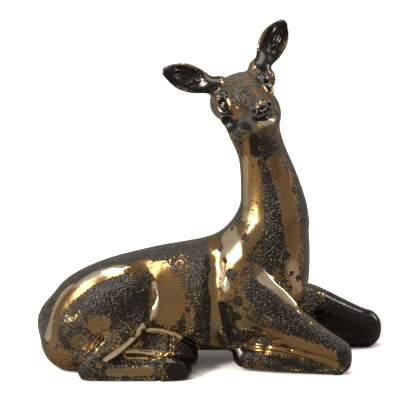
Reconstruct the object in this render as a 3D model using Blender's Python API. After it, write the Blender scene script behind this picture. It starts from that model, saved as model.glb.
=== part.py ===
"""Hollow-cast bronze statuette of a resting doe with her head turned to her right side.

Frame: metres, +Z up, +X towards the doe's chest and forelegs, +Y towards her left side.
The origin is at the middle of the footprint, on the surface she lies on.
"""

import math

import bmesh
import bpy
from mathutils import Matrix, Vector

MM = 0.001

# Driving dimensions, in millimetres
MIDDLE = (0.1, -12.6)  # middle of the overall box, in the coordinates that the form is drawn in
WALL = 5.0  # thickness of the cast walls
GAP = 0.3  # clearance left between two touching castings
FIT = 0.1  # clearance around pins, plugs and screws
SEAM = 1.9  # how far a limb's casting reaches beyond the limb's own form, into the body
SEAM_GAP = 0.6  # clearance around that, which the chased weld fills
SLEEVE_GAP = 0.8  # clearance between a lap sleeve and the wall around it
SKIN_VOXEL = 3.0  # facet size of a form before it is thinned
SKIN_SHARE, HOLLOW_SHARE = 0.12, 0.08  # share of facets kept, outside and inside
WAIST_X = -34.0  # where the rear and front body castings meet
NECK_Z = 118.0  # where the neck casting starts
HEAD_Z = 166.0  # where the head casting starts
SLEEVE_WALL, SLEEVE_REACH = 2.6, 8.0  # lap sleeves: wall, and reach to each side of a joint
PIN_R, PIN_STEP = 1.5, 4.0  # pins through a wall and its sleeve, and their distance to the joint
PLUG_R = 2.5  # plugs that close the holes of the core pins
GROUND_Z = 0.5  # the feet are ground flat here, and the felt stands proud by this much
FELT_R, FELT_THICK = 4.5, 1.2
COVER_MIDDLE = (4.5, 0.0)  # cover under the belly
COVER_SIZE = (21.0, 16.0, 2.4)
COVER_TOP_Z = 12.5
HATCH_SIZE = (8.0, 11.0)  # opening behind the cover
BOSS_TOP_Z, BOSS_RIM = 18.0, 3.0  # thick pad inside, which holds the cover's screws
SCREW_R, SCREW_HEAD_R, SCREW_HEAD_H = 1.25, 2.2, 1.4
SCREW_TIP_Z = 17.0
SCREW_REACH = 7.8  # from the middle of the cover to each screw
EYE_R = 4.3
EYE_AT = (15.4, -7.4, 0.3)  # in the face's frame, for the left eye
FAR = 400.0  # larger than the whole doe, for cutters

# Head: the face and the ears have a frame each, with -Y along the face and +Z up
PITCH, ROLL = -18.0, -24.0  # degrees about X and Y
FACE_ORIGIN, FACE_YAW = (23.9, -23.1, 198.7), 9.5  # between the eyes
EARS_ORIGIN, EARS_YAW = (27.0, -22.0, 202.0), 11.0


def head_matrix(origin, yaw):
    turn = (
        Matrix.Rotation(math.radians(PITCH), 4, "X")
        @ Matrix.Rotation(math.radians(ROLL), 4, "Y")
        @ Matrix.Rotation(math.radians(yaw), 4, "Z")
    )
    return Matrix.Translation(Vector(origin)) @ turn


FACE = head_matrix(FACE_ORIGIN, FACE_YAW)
EARS = head_matrix(EARS_ORIGIN, EARS_YAW)


# --- shape tools, all in millimetres until a mesh is finished -------------------------------


def smooth_rows(rows, steps):
    """Catmull-Rom curve through rows of numbers, with the rows themselves kept."""
    out = []
    for i in range(len(rows) - 1):
        a, b = rows[max(i - 1, 0)], rows[i]
        c, d = rows[i + 1], rows[min(i + 2, len(rows) - 1)]
        for k in range(steps):
            t = k / steps
            out.append(
                [
                    0.5
                    * (
                        2 * q
                        + (r - p) * t
                        + (2 * p - 5 * q + 4 * r - s) * t * t
                        + (3 * q - p - 3 * r + s) * t**3
                    )
                    for p, q, r, s in zip(a, b, c, d)
                ]
            )
    out.append(list(rows[-1]))
    return out


def add_loft(bm, stations, up, sides=20, steps=4, domes=(1.0, 1.0), grow=0.0, place=None):
    """A tube through stations (x, y, z, half_across, half_up) with domed ends.

    up is the direction that half_up is measured along, domes the depth of each end's dome as a
    share of its radius, and grow is added to every radius.
    """
    rows = smooth_rows(stations, steps)
    rings = []
    for i, row in enumerate(rows):
        before, after = rows[max(i - 1, 0)], rows[min(i + 1, len(rows) - 1)]
        along = (Vector(after[:3]) - Vector(before[:3])).normalized()
        rings.append((Vector(row[:3]), along, row[3] + grow, row[4] + grow))
    for end, sign in ((0, -1), (-1, 1)):
        centre, along, across, high = rings[end]
        depth = domes[end] * min(across, high)
        dome = []
        for angle in (30, 55, 75, 86):
            a = math.radians(angle)
            away = centre + along * sign * depth * math.sin(a)
            dome.append((away, along, across * math.cos(a), high * math.cos(a)))
        rings = rings + dome if sign > 0 else dome[::-1] + rings
    loops = []
    for centre, along, across, high in rings:
        side = Vector(up).cross(along).normalized()
        tall = along.cross(side).normalized()
        basis = Matrix((side * across, tall * high, along)).transposed().to_4x4()
        matrix = Matrix.Translation(centre) @ basis
        made = bmesh.ops.create_circle(bm, segments=sides, radius=1.0, matrix=matrix)
        ring = made["verts"]
        if place:
            bmesh.ops.transform(bm, matrix=place, verts=ring)
        loops.append(ring)
    for lower, upper in zip(loops, loops[1:]):
        for k in range(sides):
            j = (k + 1) % sides
            bm.faces.new((lower[k], lower[j], upper[j], upper[k]))
    bm.faces.new(loops[0][::-1])
    bm.faces.new(loops[-1])
    return bm


def add_ellipsoid(bm, centre, radii, tilt=(0, 0, 0), grow=0.0, place=None, finesse=3):
    """An ellipsoid, tilted by angles in degrees about X, Y and Z."""
    turn = Matrix.Identity(4)
    for angle, axis in zip(tilt, "XYZ"):
        turn = Matrix.Rotation(math.radians(angle), 4, axis) @ turn
    size = Matrix.Diagonal([r + grow for r in radii] + [1])
    matrix = (place or Matrix.Identity(4)) @ Matrix.Translation(Vector(centre)) @ turn @ size
    bmesh.ops.create_icosphere(bm, subdivisions=finesse, radius=1.0, matrix=matrix)
    return bm


# --- the doe's form ------------------------------------------------------------------------

TRUNK = [  # x, y, z, half width, half height
    (-100, 0, 28, 22, 22),
    (-94, 0, 30.5, 27, 27),
    (-82, 0, 35, 30, 31),
    (-60, 0, 43, 32, 33),
    (-35, 0, 46.3, 32, 36.7),
    (-16, 0, 48, 32, 39),
    (0, 0, 49.5, 32, 41),
    (20, 0, 50.5, 32, 40.5),
    (38, 0, 52, 28, 34),
]
CHEST_AND_NECK = [  # x, y, z, half width across Y, half depth along X
    (32, 0, 26, 22, 22),
    (34, 0, 36, 25, 30),
    (35, 0, 58, 28, 34.5),
    (38, 0, 76, 28, 33),
    (42, 0, 95, 25, 29),
    (44.8, 0, 107, 22, 25.3),
    (43.8, 0, 120, 19, 22.6),
    (41, 0, 135, 17, 20),
    (36.8, -1, 152, 15.5, 17.2),
    (33.2, -2, 163, 15.5, 17.4),
    (30, -4, 174, 16, 19),
    (27, -8, 188, 16, 18),
]
NEAR_ARM = [
    (22, -20, 66, 14, 17),
    (36, -24, 52, 14, 18),
    (52, -27, 38, 12.5, 15.5),
    (70, -28.5, 27, 11, 12),
    (90, -29, 16, 9.5, 9.5),
]
FAR_ARM = [
    (36, 20, 50, 14, 16),
    (55, 27, 38, 13, 14),
    (71, 30, 32.5, 12, 13.5),
    (92, 31, 24, 10.5, 11),
    (108, 31.5, 17, 9.5, 10),
]
FAR_CANNON = [
    (111, 31.5, 8, 9, 9.6),
    (88, 29, 7.6, 8, 8),
    (62, 24, 8, 7.6, 7.6),
    (45, 21, 9.5, 8.4, 9.2),
]
NEAR_CANNON = [
    (91, -28, 8, 8.5, 8.7),
    (70, -26, 7.2, 8, 7.5),
    (45, -24, 7.5, 8, 7.2),
    (34, -22, 8.5, 8, 8.2),
    (24, -20, 9.3, 8.2, 9),
]
NEAR_WEB = [(44, -25, 17, 7.5, 9), (66, -27.5, 14, 8, 8), (86, -29, 11.5, 7.5, 7)]
FAR_WEB = [(46, 21, 24, 11, 15), (62, 25, 20, 10, 13), (82, 29, 16, 8.5, 11), (104, 31, 12, 8, 9)]
EAR = [
    (14, 7, 10, 6, 6),
    (20, 8, 15, 6.2, 5.5),
    (27, 8, 21, 9.6, 4),
    (34, 7, 27, 10, 3.4),
    (39, 6, 31, 7.4, 2.8),
    (43, 5, 34, 3.8, 2),
]


def add_trunk(bm, grow=0.0):
    add_loft(bm, TRUNK, up=(0, 0, 1), sides=32, grow=grow)
    add_loft(bm, CHEST_AND_NECK, up=(1, 0, 0), sides=28, grow=grow)
    add_ellipsoid(bm, (12, 0, 84), (24, 15, 12), tilt=(0, -28, 0), grow=grow)  # withers
    for side in (-1, 1):
        add_ellipsoid(bm, (28, side * 19, 66), (25, 15, 38), tilt=(0, 8, 0), grow=grow)  # shoulder
        add_ellipsoid(bm, (-94, side * 16, 19), (25, 20, 21), grow=grow)  # buttock
    add_ellipsoid(bm, (-73, -27, 47), (40, 18, 27), tilt=(0, -38, 0), grow=grow)  # near thigh
    add_ellipsoid(bm, (-70, 24, 36), (38, 20, 24), tilt=(0, -30, 0), grow=grow)  # far thigh


def add_upper_arms(bm):
    add_loft(bm, NEAR_ARM, up=(0, 0, 1))
    add_loft(bm, FAR_ARM, up=(0, 0, 1))


def add_right_foreleg(bm):
    add_loft(bm, NEAR_ARM[2:], up=(0, 0, 1))
    add_loft(bm, NEAR_CANNON, up=(0, 0, 1))
    add_loft(bm, NEAR_WEB, up=(0, 0, 1))
    add_ellipsoid(bm, (90, -27.5, 12), (10, 9.5, 13.4))  # knee


def add_left_foreleg(bm):
    add_loft(bm, FAR_ARM[1:], up=(0, 0, 1))
    add_loft(bm, FAR_CANNON, up=(0, 0, 1))
    add_loft(bm, FAR_WEB, up=(0, 0, 1))
    add_ellipsoid(bm, (111, 31.5, 12.6), (11.5, 10, 14.8))  # knee


def add_right_hind_leg(bm):
    shin = [(-48, -34, 44, 9, 11), (-66, -38, 27, 9, 10), (-84, -39.5, 11, 8.5, 9)]
    foot = [(-84, -39, 6.5, 8.5, 9.5), (-60, -39, 5, 8, 8), (-36, -39, 5.5, 8, 8)]
    hoof = [(-34, -39, 7, 8.5, 9.8), (-24, -39, 7, 9, 9.8), (-19, -39, 6.2, 8, 8)]
    for stations in (shin, foot, hoof):
        add_loft(bm, stations, up=(0, 0, 1))


def add_left_hind_foot(bm):
    foot = [(-66, -18, 15, 8, 9), (-48, -23, 19.5, 8, 7.6), (-30, -25, 19.6, 8, 7.6)]
    hoof = [(-28, -25, 18, 9, 8.6), (-18, -26, 14, 9, 9.5), (-14.5, -26, 11, 8, 8.5)]
    web = [(-70, -26, 12, 12, 8), (-50, -30, 12, 8, 5), (-28, -30, 11, 8, 5)]
    for stations in (foot, hoof, web):
        add_loft(bm, stations, up=(0, 0, 1))


def add_skull(bm, grow=0.0):
    face = [  # local: along the face from the back of the skull to the nose
        (0, 14, 0, 21, 15),
        (0, 4, 0, 20.5, 15.5),
        (0, -6, -1, 17.5, 15),
        (0, -14, -5, 13.5, 13),
        (0, -24, -10, 10.4, 10.8),
        (0, -32, -13, 9.4, 9.4),
        (0, -38, -14, 8.6, 7.8),
    ]
    cheeks = [
        (0, 8, -10, 15, 14),
        (0, -6, -12.5, 14.5, 14),
        (0, -16, -15, 12.4, 12.4),
        (0, -25, -17.5, 9.6, 10),
        (0, -33, -18, 7.6, 8),
    ]
    add_loft(bm, face, up=(0, 0, 1), sides=24, grow=grow, place=FACE)
    add_loft(bm, cheeks, up=(0, 0, 1), sides=24, grow=grow, place=FACE)
    add_ellipsoid(bm, (0, 12, 1.5), (22, 20, 17), grow=grow, place=FACE)  # cranium
    add_ellipsoid(bm, (-3, 24, -7), (14, 13, 14), grow=grow, place=FACE)  # throat
    add_ellipsoid(bm, (10, 22, -12), (15, 13, 18), grow=grow, place=FACE)


def add_features(bm):
    add_ellipsoid(bm, (0, -30.5, -23), (7.6, 6.6, 5.2), place=FACE)  # chin
    add_ellipsoid(bm, (0.5, -37.5, -12), (9.4, 6, 6.4), place=FACE)  # nose
    for side in (-1, 1):
        add_ellipsoid(bm, (side * 15.5, 8, 12), (8, 7.5, 8), place=EARS)  # root of the ear
        add_ellipsoid(bm, (side * 16, 8, 5), (8, 8, 9), place=EARS)
        add_ellipsoid(bm, (side * 14.4, -6.3, 7), (6.6, 5.6, 4.6), place=FACE)  # brow
        add_ellipsoid(bm, (side * 13.5, -3.5, -1), (7.5, 8.5, 9), place=FACE)  # cheekbone


def add_ear(bm, side, reach):
    """An ear, stretched from its root by reach."""
    stations = []
    for x, y, z, across, thick in EAR:
        out = EAR[0][0] + (x - EAR[0][0]) * reach
        up = EAR[0][2] + (z - EAR[0][2]) * reach
        stations.append((side * out, y, up, across, thick))
    add_loft(bm, stations, up=(0, -1, 0), place=EARS)


def add_right_ear(bm):
    add_ear(bm, -1, 1.12)


def add_left_ear(bm):
    add_ear(bm, 1, 1.03)


def add_tail(bm):
    tail = [(-102, 7, 43, 5, 4), (-107, 9, 34, 5.5, 4), (-109.5, 10, 24, 5, 4), (-110, 10, 15, 3.5, 3)]
    add_loft(bm, tail, up=(1, 0, 0))


def add_hollow(bm):
    add_trunk(bm, grow=-WALL)
    add_skull(bm, grow=-WALL)


def clear_scene():
    for obj in list(bpy.data.objects):
        bpy.data.objects.remove(obj)


def new_object(name, bm):
    mesh = bpy.data.meshes.new(name)
    bmesh.ops.translate(bm, vec=(-MIDDLE[0], -MIDDLE[1], 0), verts=bm.verts)
    bmesh.ops.scale(bm, vec=(MM, MM, MM), verts=bm.verts)
    bmesh.ops.recalc_face_normals(bm, faces=bm.faces)
    bm.to_mesh(mesh)
    bm.free()
    obj = bpy.data.objects.new(name, mesh)
    bpy.context.scene.collection.objects.link(obj)
    return obj


def hide(obj):
    obj.hide_render = True
    obj.display_type = "WIRE"
    return obj


def form(name, *builders, swell=0.0, share=SKIN_SHARE, ease=3):
    """A hidden helper: the shapes that the builders add, fused into one skin, swollen by swell."""
    bm = bmesh.new()
    for builder in builders:
        builder(bm)
    obj = hide(new_object(name, bm))
    skin = obj.modifiers.new("skin", "REMESH")
    skin.mode = "VOXEL"
    skin.voxel_size = SKIN_VOXEL * MM
    soft = obj.modifiers.new("soft", "SMOOTH")
    soft.iterations = ease
    thin = obj.modifiers.new("thin", "DECIMATE")
    thin.ratio = share
    push = obj.modifiers.new("push", "DISPLACE")
    push.mid_level = 0
    push.strength = swell * MM
    return obj


def box(name, low, high):
    bm = bmesh.new()
    size = Vector(high) - Vector(low)
    middle = (Vector(high) + Vector(low)) / 2
    matrix = Matrix.Translation(middle) @ Matrix.Diagonal((*size, 1))
    bmesh.ops.create_cube(bm, size=1.0, matrix=matrix)
    return new_object(name, bm)


def rod(name, start, end, radius, sides=12, head=None):
    """A round rod from start to end; head is (radius, height) of a head at its start."""
    along = Vector(end) - Vector(start)
    profile = [(0, 0), (radius, 0), (radius, along.length), (0, along.length)]
    if head:
        profile[:2] = [(0, -head[1]), (head[0], -head[1]), (head[0], 0), (radius, 0)]
    bm = bmesh.new()
    points = [bm.verts.new((r, 0, z)) for r, z in profile]
    edges = [bm.edges.new(pair) for pair in zip(points, points[1:])]
    bmesh.ops.spin(
        bm,
        geom=points + edges,
        cent=(0, 0, 0),
        axis=(0, 0, 1),
        angle=math.tau,
        steps=sides,
        use_merge=True,
    )
    bmesh.ops.remove_doubles(bm, verts=bm.verts, dist=1e-4)
    turn = along.to_track_quat("Z", "Y").to_matrix().to_4x4()
    bmesh.ops.transform(bm, matrix=Matrix.Translation(Vector(start)) @ turn, verts=bm.verts)
    return new_object(name, bm)


def combine(obj, operation, others, solver):
    for other in others:
        made = obj.modifiers.new(other.name, "BOOLEAN")
        made.object = other
        made.operation = operation
        made.solver = solver
    return obj


def cut(obj, *others, solver="EXACT"):
    return combine(obj, "DIFFERENCE", others, solver)


def keep(obj, *others, solver="EXACT"):
    return combine(obj, "INTERSECT", others, solver)


def island(start):
    """Every vertex that is joined to start by edges."""
    found = {start}
    front = [start]
    while front:
        for edge in front.pop().link_edges:
            for vert in edge.verts:
                if vert not in found:
                    found.add(vert)
                    front.append(vert)
    return found


def settle(obj):
    """Apply a piece's Booleans and drop the crumbs they leave, so that one body is left."""
    bm = bmesh.new()
    bm.from_object(obj, bpy.context.evaluated_depsgraph_get())
    left = set(bm.verts)
    bodies = []
    while left:
        bodies.append(island(left.pop()))
        left -= bodies[-1]
    largest = max(bodies, key=len)
    crumbs = [vert for vert in bm.verts if vert not in largest]
    bmesh.ops.delete(bm, geom=crumbs, context="VERTS")
    obj.modifiers.clear()
    bm.to_mesh(obj.data)
    bm.free()
    return obj


def material(name, colour, metallic, roughness):
    made = bpy.data.materials.new(name)
    made.use_nodes = True
    shader = made.node_tree.nodes["Principled BSDF"]
    shader.inputs["Base Color"].default_value = (*colour, 1)
    shader.inputs["Metallic"].default_value = metallic
    shader.inputs["Roughness"].default_value = roughness
    return made


def finish(obj, made, smooth=True):
    """Settle a finished piece and give it its material."""
    settle(obj)
    obj.data.materials.append(made)
    if smooth:
        obj.data.shade_smooth()
        obj.data.set_sharp_from_angle(angle=math.radians(40))
    return obj


# --- hidden forms that the pieces are cut from ------------------------------------------------

clear_scene()
bronze = material("patinated_bronze", (0.36, 0.25, 0.12), 1.0, 0.32)
raw_bronze = material("raw_bronze", (0.45, 0.32, 0.17), 1.0, 0.5)
dark_inlay = material("dark_inlay", (0.01, 0.01, 0.01), 0.0, 0.1)
steel = material("steel", (0.55, 0.55, 0.57), 1.0, 0.3)
felt = material("felt", (0.03, 0.10, 0.05), 0.0, 0.9)

LIMBS = {
    "right_foreleg": add_right_foreleg,
    "left_foreleg": add_left_foreleg,
    "right_hind_leg": add_right_hind_leg,
    "left_hind_foot": add_left_hind_foot,
    "right_ear": add_right_ear,
    "left_ear": add_left_ear,
}

outer = form("outer_form", add_trunk, add_upper_arms, add_tail, add_skull, add_features, *LIMBS.values())
cut(outer, hide(box("ground_cutter", (-FAR, -FAR, -FAR), (FAR, FAR, GROUND_Z))))

cavity = form("cavity_form", add_hollow, share=HOLLOW_SHARE)
sleeve_outside = form("sleeve_outside", add_hollow, share=HOLLOW_SHARE, swell=-SLEEVE_GAP)
sleeve_inside = form("sleeve_inside", add_hollow, share=HOLLOW_SHARE, swell=-SLEEVE_GAP - SLEEVE_WALL)


def cover_block(name, size, low_z, high_z):
    """A box around the cover's middle."""
    low = (COVER_MIDDLE[0] - size[0] / 2, COVER_MIDDLE[1] - size[1] / 2, low_z)
    high = (COVER_MIDDLE[0] + size[0] / 2, COVER_MIDDLE[1] + size[1] / 2, high_z)
    return box(name, low, high)


rim = 2 * BOSS_RIM
cut(cavity, hide(cover_block("boss", (COVER_SIZE[0] + rim, COVER_SIZE[1] + rim), 0, BOSS_TOP_Z)))

# A limb fills its region, and its neighbours are cut by the same region grown by SEAM_GAP
regions = {}
sockets = {}
for name, add in LIMBS.items():
    regions[name] = form(name + "_region", add, swell=SEAM, ease=8)
    sockets[name] = form(name + "_socket", add, swell=SEAM + SEAM_GAP, ease=8)


# --- holes, with the pins, plugs, screws, eyes and pads that sit in them ------------------------

holes = {}  # piece name to the cutters that go through it


def drill(cutter, *names):
    hide(cutter)
    for name in names:
        holes.setdefault(name, []).append(cutter)


def fitted_rod(name, outside, inside, radius, made, *through):
    """A rod that ends flush with the outer form, in a hole through the named pieces."""
    piece = rod(name, outside, inside, radius)
    keep(piece, outer)
    finish(piece, made)
    along = (Vector(inside) - Vector(outside)).normalized()
    start, end = Vector(outside) - along, Vector(inside) + along
    drill(rod(name + "_hole", start, end, radius + FIT), *through)


def joint_pins(joint, sleeve_name, pieces, along, height, reach):
    """Two pins on each side of a joint, one through each casting, in from +Y and from -Y.

    along is the joint's place on X and height its place on Z, and reach the Y of a pin's two
    ends, outer end first.
    """
    for side, sign in (("left", 1), ("right", -1)):
        for piece, step in zip(pieces, (-PIN_STEP, PIN_STEP)):
            x, z = (along + step, height) if joint == "waist" else (along, height + step)
            outside = (x, sign * reach[0], z)
            inside = (x, sign * reach[1], z)
            name = f"{joint}_pin_{piece}_{side}"
            fitted_rod(name, outside, inside, PIN_R, raw_bronze, piece, sleeve_name)


joint_pins("waist", "waist_sleeve", ("rear_body", "front_body"), WAIST_X, 56, (40, 23))
joint_pins("throat", "neck_sleeve", ("front_body", "neck"), 44, NECK_Z, (30, 10))
joint_pins("nape", "head_sleeve", ("neck", "head"), 32, HEAD_Z, (23, 6))

fitted_rod("rump_plug", (-130, -6, 50), (-104, -6, 50), PLUG_R, raw_bronze, "rear_body")
fitted_rod("left_flank_plug", (-8, 44, 60), (-8, 24, 60), PLUG_R, raw_bronze, "front_body")
fitted_rod("chest_plug", (84, 0, 62), (61, 0, 62), PLUG_R, raw_bronze, "front_body")
fitted_rod("withers_plug", (6, 0, 104), (6, 0, 84), PLUG_R, raw_bronze, "front_body")

cover = cover_block("belly_cover", COVER_SIZE, COVER_TOP_Z - COVER_SIZE[2], COVER_TOP_Z)
seat_size = (COVER_SIZE[0] + 2 * GAP, COVER_SIZE[1] + 2 * GAP)
drill(cover_block("cover_seat", seat_size, 0, COVER_TOP_Z + GAP), "front_body")
drill(cover_block("hatch", HATCH_SIZE, 0, FAR / 8), "front_body")
for side, sign in (("rear", -1), ("front", 1)):
    x, y = COVER_MIDDLE[0] + sign * SCREW_REACH, COVER_MIDDLE[1]
    under = COVER_TOP_Z - COVER_SIZE[2] - FIT
    head = (SCREW_HEAD_R, SCREW_HEAD_H)
    screw = rod(f"cover_screw_{side}", (x, y, under), (x, y, SCREW_TIP_Z), SCREW_R, head=head)
    finish(screw, steel)
    hole = rod(f"screw_hole_{side}", (x, y, 0), (x, y, FAR / 8), SCREW_R + FIT)
    drill(hole, "front_body", "belly_cover")
cut(cover, *holes["belly_cover"])
finish(cover, raw_bronze, smooth=False)

PADS = {  # x and y of each felt pad, and the piece that it is glued into
    "rump_pad": (-94, 14, "rear_body"),
    "hock_pad": (-76, -39, "right_hind_leg"),
    "right_knee_pad": (89, -27.5, "right_foreleg"),
    "left_knee_pad": (110, 31.5, "left_foreleg"),
}
for name, (x, y, piece) in PADS.items():
    finish(rod(name, (x, y, 0), (x, y, FELT_THICK), FELT_R, sides=24), felt)
    pocket_top = (x, y, FELT_THICK + GAP)
    drill(rod(name + "_pocket", (x, y, -FELT_THICK), pocket_top, FELT_R + GAP, sides=24), piece)

for side, sign in (("right", -1), ("left", 1)):
    centre = FACE @ Vector((sign * EYE_AT[0], EYE_AT[1], EYE_AT[2]))
    bm = bmesh.new()
    add_ellipsoid(bm, centre, (EYE_R, EYE_R, EYE_R), finesse=2)
    finish(new_object(side + "_eye", bm), dark_inlay)
    bm = bmesh.new()
    add_ellipsoid(bm, centre, (EYE_R + GAP, EYE_R + GAP, EYE_R + GAP), finesse=2)
    drill(new_object(side + "_eye_socket", bm), "head")


# --- bronze castings --------------------------------------------------------------------------


# The EXACT solver empties some of these free-form pieces, so they are all cut by MANIFOLD


def casting(name, low, high, *neighbours):
    """A hollow casting: the wall that lies in a block, with sockets for its neighbours."""
    piece = keep(box(name, low, high), outer, solver="MANIFOLD")
    cut(piece, cavity, *[sockets[other] for other in neighbours], solver="MANIFOLD")
    cut(piece, *holes.get(name, []), solver="MANIFOLD")
    return finish(piece, bronze)


def sleeve(name, low, high, *neighbours):
    """A lap sleeve inside a joint: it follows the cavity's wall."""
    piece = keep(box(name, low, high), sleeve_outside, solver="MANIFOLD")
    cut(piece, sleeve_inside, *[sockets[other] for other in neighbours], solver="MANIFOLD")
    cut(piece, *holes[name], solver="MANIFOLD")
    return finish(piece, raw_bronze)


half = GAP / 2
hind = ("right_hind_leg", "left_hind_foot")
fore = ("right_foreleg", "left_foreleg")
casting("rear_body", (-FAR, -FAR, 0), (WAIST_X - half, FAR, NECK_Z - half), *hind)
front_low, front_high = (WAIST_X + half, -FAR, 0), (FAR, FAR, NECK_Z - half)
casting("front_body", front_low, front_high, *hind, *fore)
casting("neck", (-FAR, -FAR, NECK_Z + half), (FAR, FAR, HEAD_Z - half))
casting("head", (-FAR, -FAR, HEAD_Z + half), (FAR, FAR, FAR), "right_ear", "left_ear")

for name in LIMBS:
    piece = box(name, (-FAR, -FAR, 0), (FAR, FAR, FAR))
    keep(piece, outer, regions[name], solver="MANIFOLD")
    if name == "left_hind_foot":
        cut(piece, sockets["right_hind_leg"], solver="MANIFOLD")
    cut(piece, *holes.get(name, []), solver="MANIFOLD")
    finish(piece, bronze)

waist_low, waist_high = WAIST_X - SLEEVE_REACH, WAIST_X + SLEEVE_REACH
sleeve("waist_sleeve", (waist_low, -FAR, 0), (waist_high, FAR, FAR), *hind)
for name, z in (("neck_sleeve", NECK_Z), ("head_sleeve", HEAD_Z)):
    sleeve(name, (-FAR, -FAR, z - SLEEVE_REACH), (FAR, FAR, z + SLEEVE_REACH))
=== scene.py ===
import math

import bmesh
import bpy
import numpy as np
from mathutils import Matrix, Vector
from mathutils.bvhtree import BVHTree
from mathutils.kdtree import KDTree


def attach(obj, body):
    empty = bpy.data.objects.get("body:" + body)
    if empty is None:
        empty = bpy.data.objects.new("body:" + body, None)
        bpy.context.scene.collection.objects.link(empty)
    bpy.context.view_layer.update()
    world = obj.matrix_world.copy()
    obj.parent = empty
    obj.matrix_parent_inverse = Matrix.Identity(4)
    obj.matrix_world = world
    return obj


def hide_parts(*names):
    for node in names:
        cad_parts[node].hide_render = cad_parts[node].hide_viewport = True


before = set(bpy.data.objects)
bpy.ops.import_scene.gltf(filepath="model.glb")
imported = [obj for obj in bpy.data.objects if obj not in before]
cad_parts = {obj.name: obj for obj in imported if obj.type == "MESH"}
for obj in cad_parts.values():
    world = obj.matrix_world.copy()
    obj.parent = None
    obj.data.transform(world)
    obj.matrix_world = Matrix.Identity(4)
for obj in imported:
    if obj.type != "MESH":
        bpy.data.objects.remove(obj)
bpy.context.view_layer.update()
mm = 0.001
drawnAt = Vector((0.1, -12.6, 0.0))  # the form is drawn around this point, in millimetres

# Camera, light and floor

view = {"azimuth": 0, "elevation": 18, "distance": 4.0, "frameWidth": 0.294, "aim": (0.0007, 0.105)}


def aimCamera(settings):
    turn, lift = math.radians(settings["azimuth"]), math.radians(settings["elevation"])
    right = Vector((math.cos(turn), math.sin(turn), 0))
    back = Vector((math.sin(turn) * math.cos(lift), -math.cos(turn) * math.cos(lift), math.sin(lift)))
    up = back.cross(right)
    data = bpy.data.cameras.new("camera")
    data.sensor_width = 36
    data.lens = data.sensor_width * settings["distance"] / settings["frameWidth"]
    camera = bpy.data.objects.new("camera", data)
    bpy.context.scene.collection.objects.link(camera)
    target = right * settings["aim"][0] + up * settings["aim"][1] - drawnAt * mm
    camera.location = target + back * settings["distance"]
    camera.rotation_mode = "QUATERNION"
    camera.rotation_quaternion = (-back).to_track_quat("-Z", "Y")
    bpy.context.scene.camera = camera


aimCamera(view)

studio = {
    "backdrop": 1.0,  # what the camera sees behind the doe
    "room": 0.46,  # what the metal mirrors and is lit by
    "lamps": {  # place, aim, width, height, watts, colour
        "keyPanel": ((-0.9, -0.75, 0.85), (0, 0, 0.08), 0.32, 0.5, 22, (1.0, 0.98, 0.95)),
        "sidePanel": ((-1.0, -0.6, 0.5), (0, 0, 0.1), 0.6, 1.0, 15, (1.0, 0.99, 0.97)),
        "topPanel": ((0.0, -0.1, 1.5), (0, 0, 0), 1.1, 0.9, 22, (1.0, 1.0, 1.0)),
        "rimPanel": ((1.0, 0.2, 0.7), (0, 0, 0.12), 0.25, 0.8, 7, (1.0, 1.0, 1.0)),
    },
}


def lamp(name, place, aim, width, height, watts, colour):
    data = bpy.data.lights.new(name, "AREA")
    data.shape = "RECTANGLE"
    data.size, data.size_y = width, height
    data.energy = watts
    data.color = colour
    made = bpy.data.objects.new(name, data)
    bpy.context.scene.collection.objects.link(made)
    made.location = place
    made.rotation_mode = "QUATERNION"
    made.rotation_quaternion = (Vector(aim) - Vector(place)).to_track_quat("-Z", "Y")


bpy.context.scene.view_settings.view_transform = "Standard"
for name, values in studio["lamps"].items():
    lamp(name, *values)
world = bpy.data.worlds.new("studioWorld")
world.use_nodes = True
room = world.node_tree.nodes["Background"]
room.inputs["Color"].default_value = (1, 0.97, 0.93, 1)
backdrop = world.node_tree.nodes.new("ShaderNodeBackground")
backdrop.inputs["Strength"].default_value = studio["backdrop"]
room.inputs["Strength"].default_value = studio["room"]
seen = world.node_tree.nodes.new("ShaderNodeLightPath")
either = world.node_tree.nodes.new("ShaderNodeMixShader")
world.node_tree.links.new(seen.outputs["Is Camera Ray"], either.inputs[0])
world.node_tree.links.new(room.outputs[0], either.inputs[1])
world.node_tree.links.new(backdrop.outputs[0], either.inputs[2])
world.node_tree.links.new(either.outputs[0], world.node_tree.nodes["World Output"].inputs["Surface"])
bpy.context.scene.world = world
print("studio ready")

# Shape tools: everything is drawn in millimetres, and put in metres when a piece is finished


def curveThrough(rows, steps):
    rows = np.array(rows, float)
    padded = np.vstack([rows[:1], rows, rows[-1:]])
    out = []
    for a, b, c, d in zip(padded, padded[1:], padded[2:], padded[3:]):
        for t in np.arange(steps) / steps:
            bend = (2 * a - 5 * b + 4 * c - d) * t**2 + (3 * b - a - 3 * c + d) * t**3
            out.append(0.5 * (2 * b + (c - a) * t + bend))
    return np.vstack([out, rows[-1:]])


capAngles = (20, 38, 54, 68, 79, 87)  # degrees around the rounded end of a loft


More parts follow.
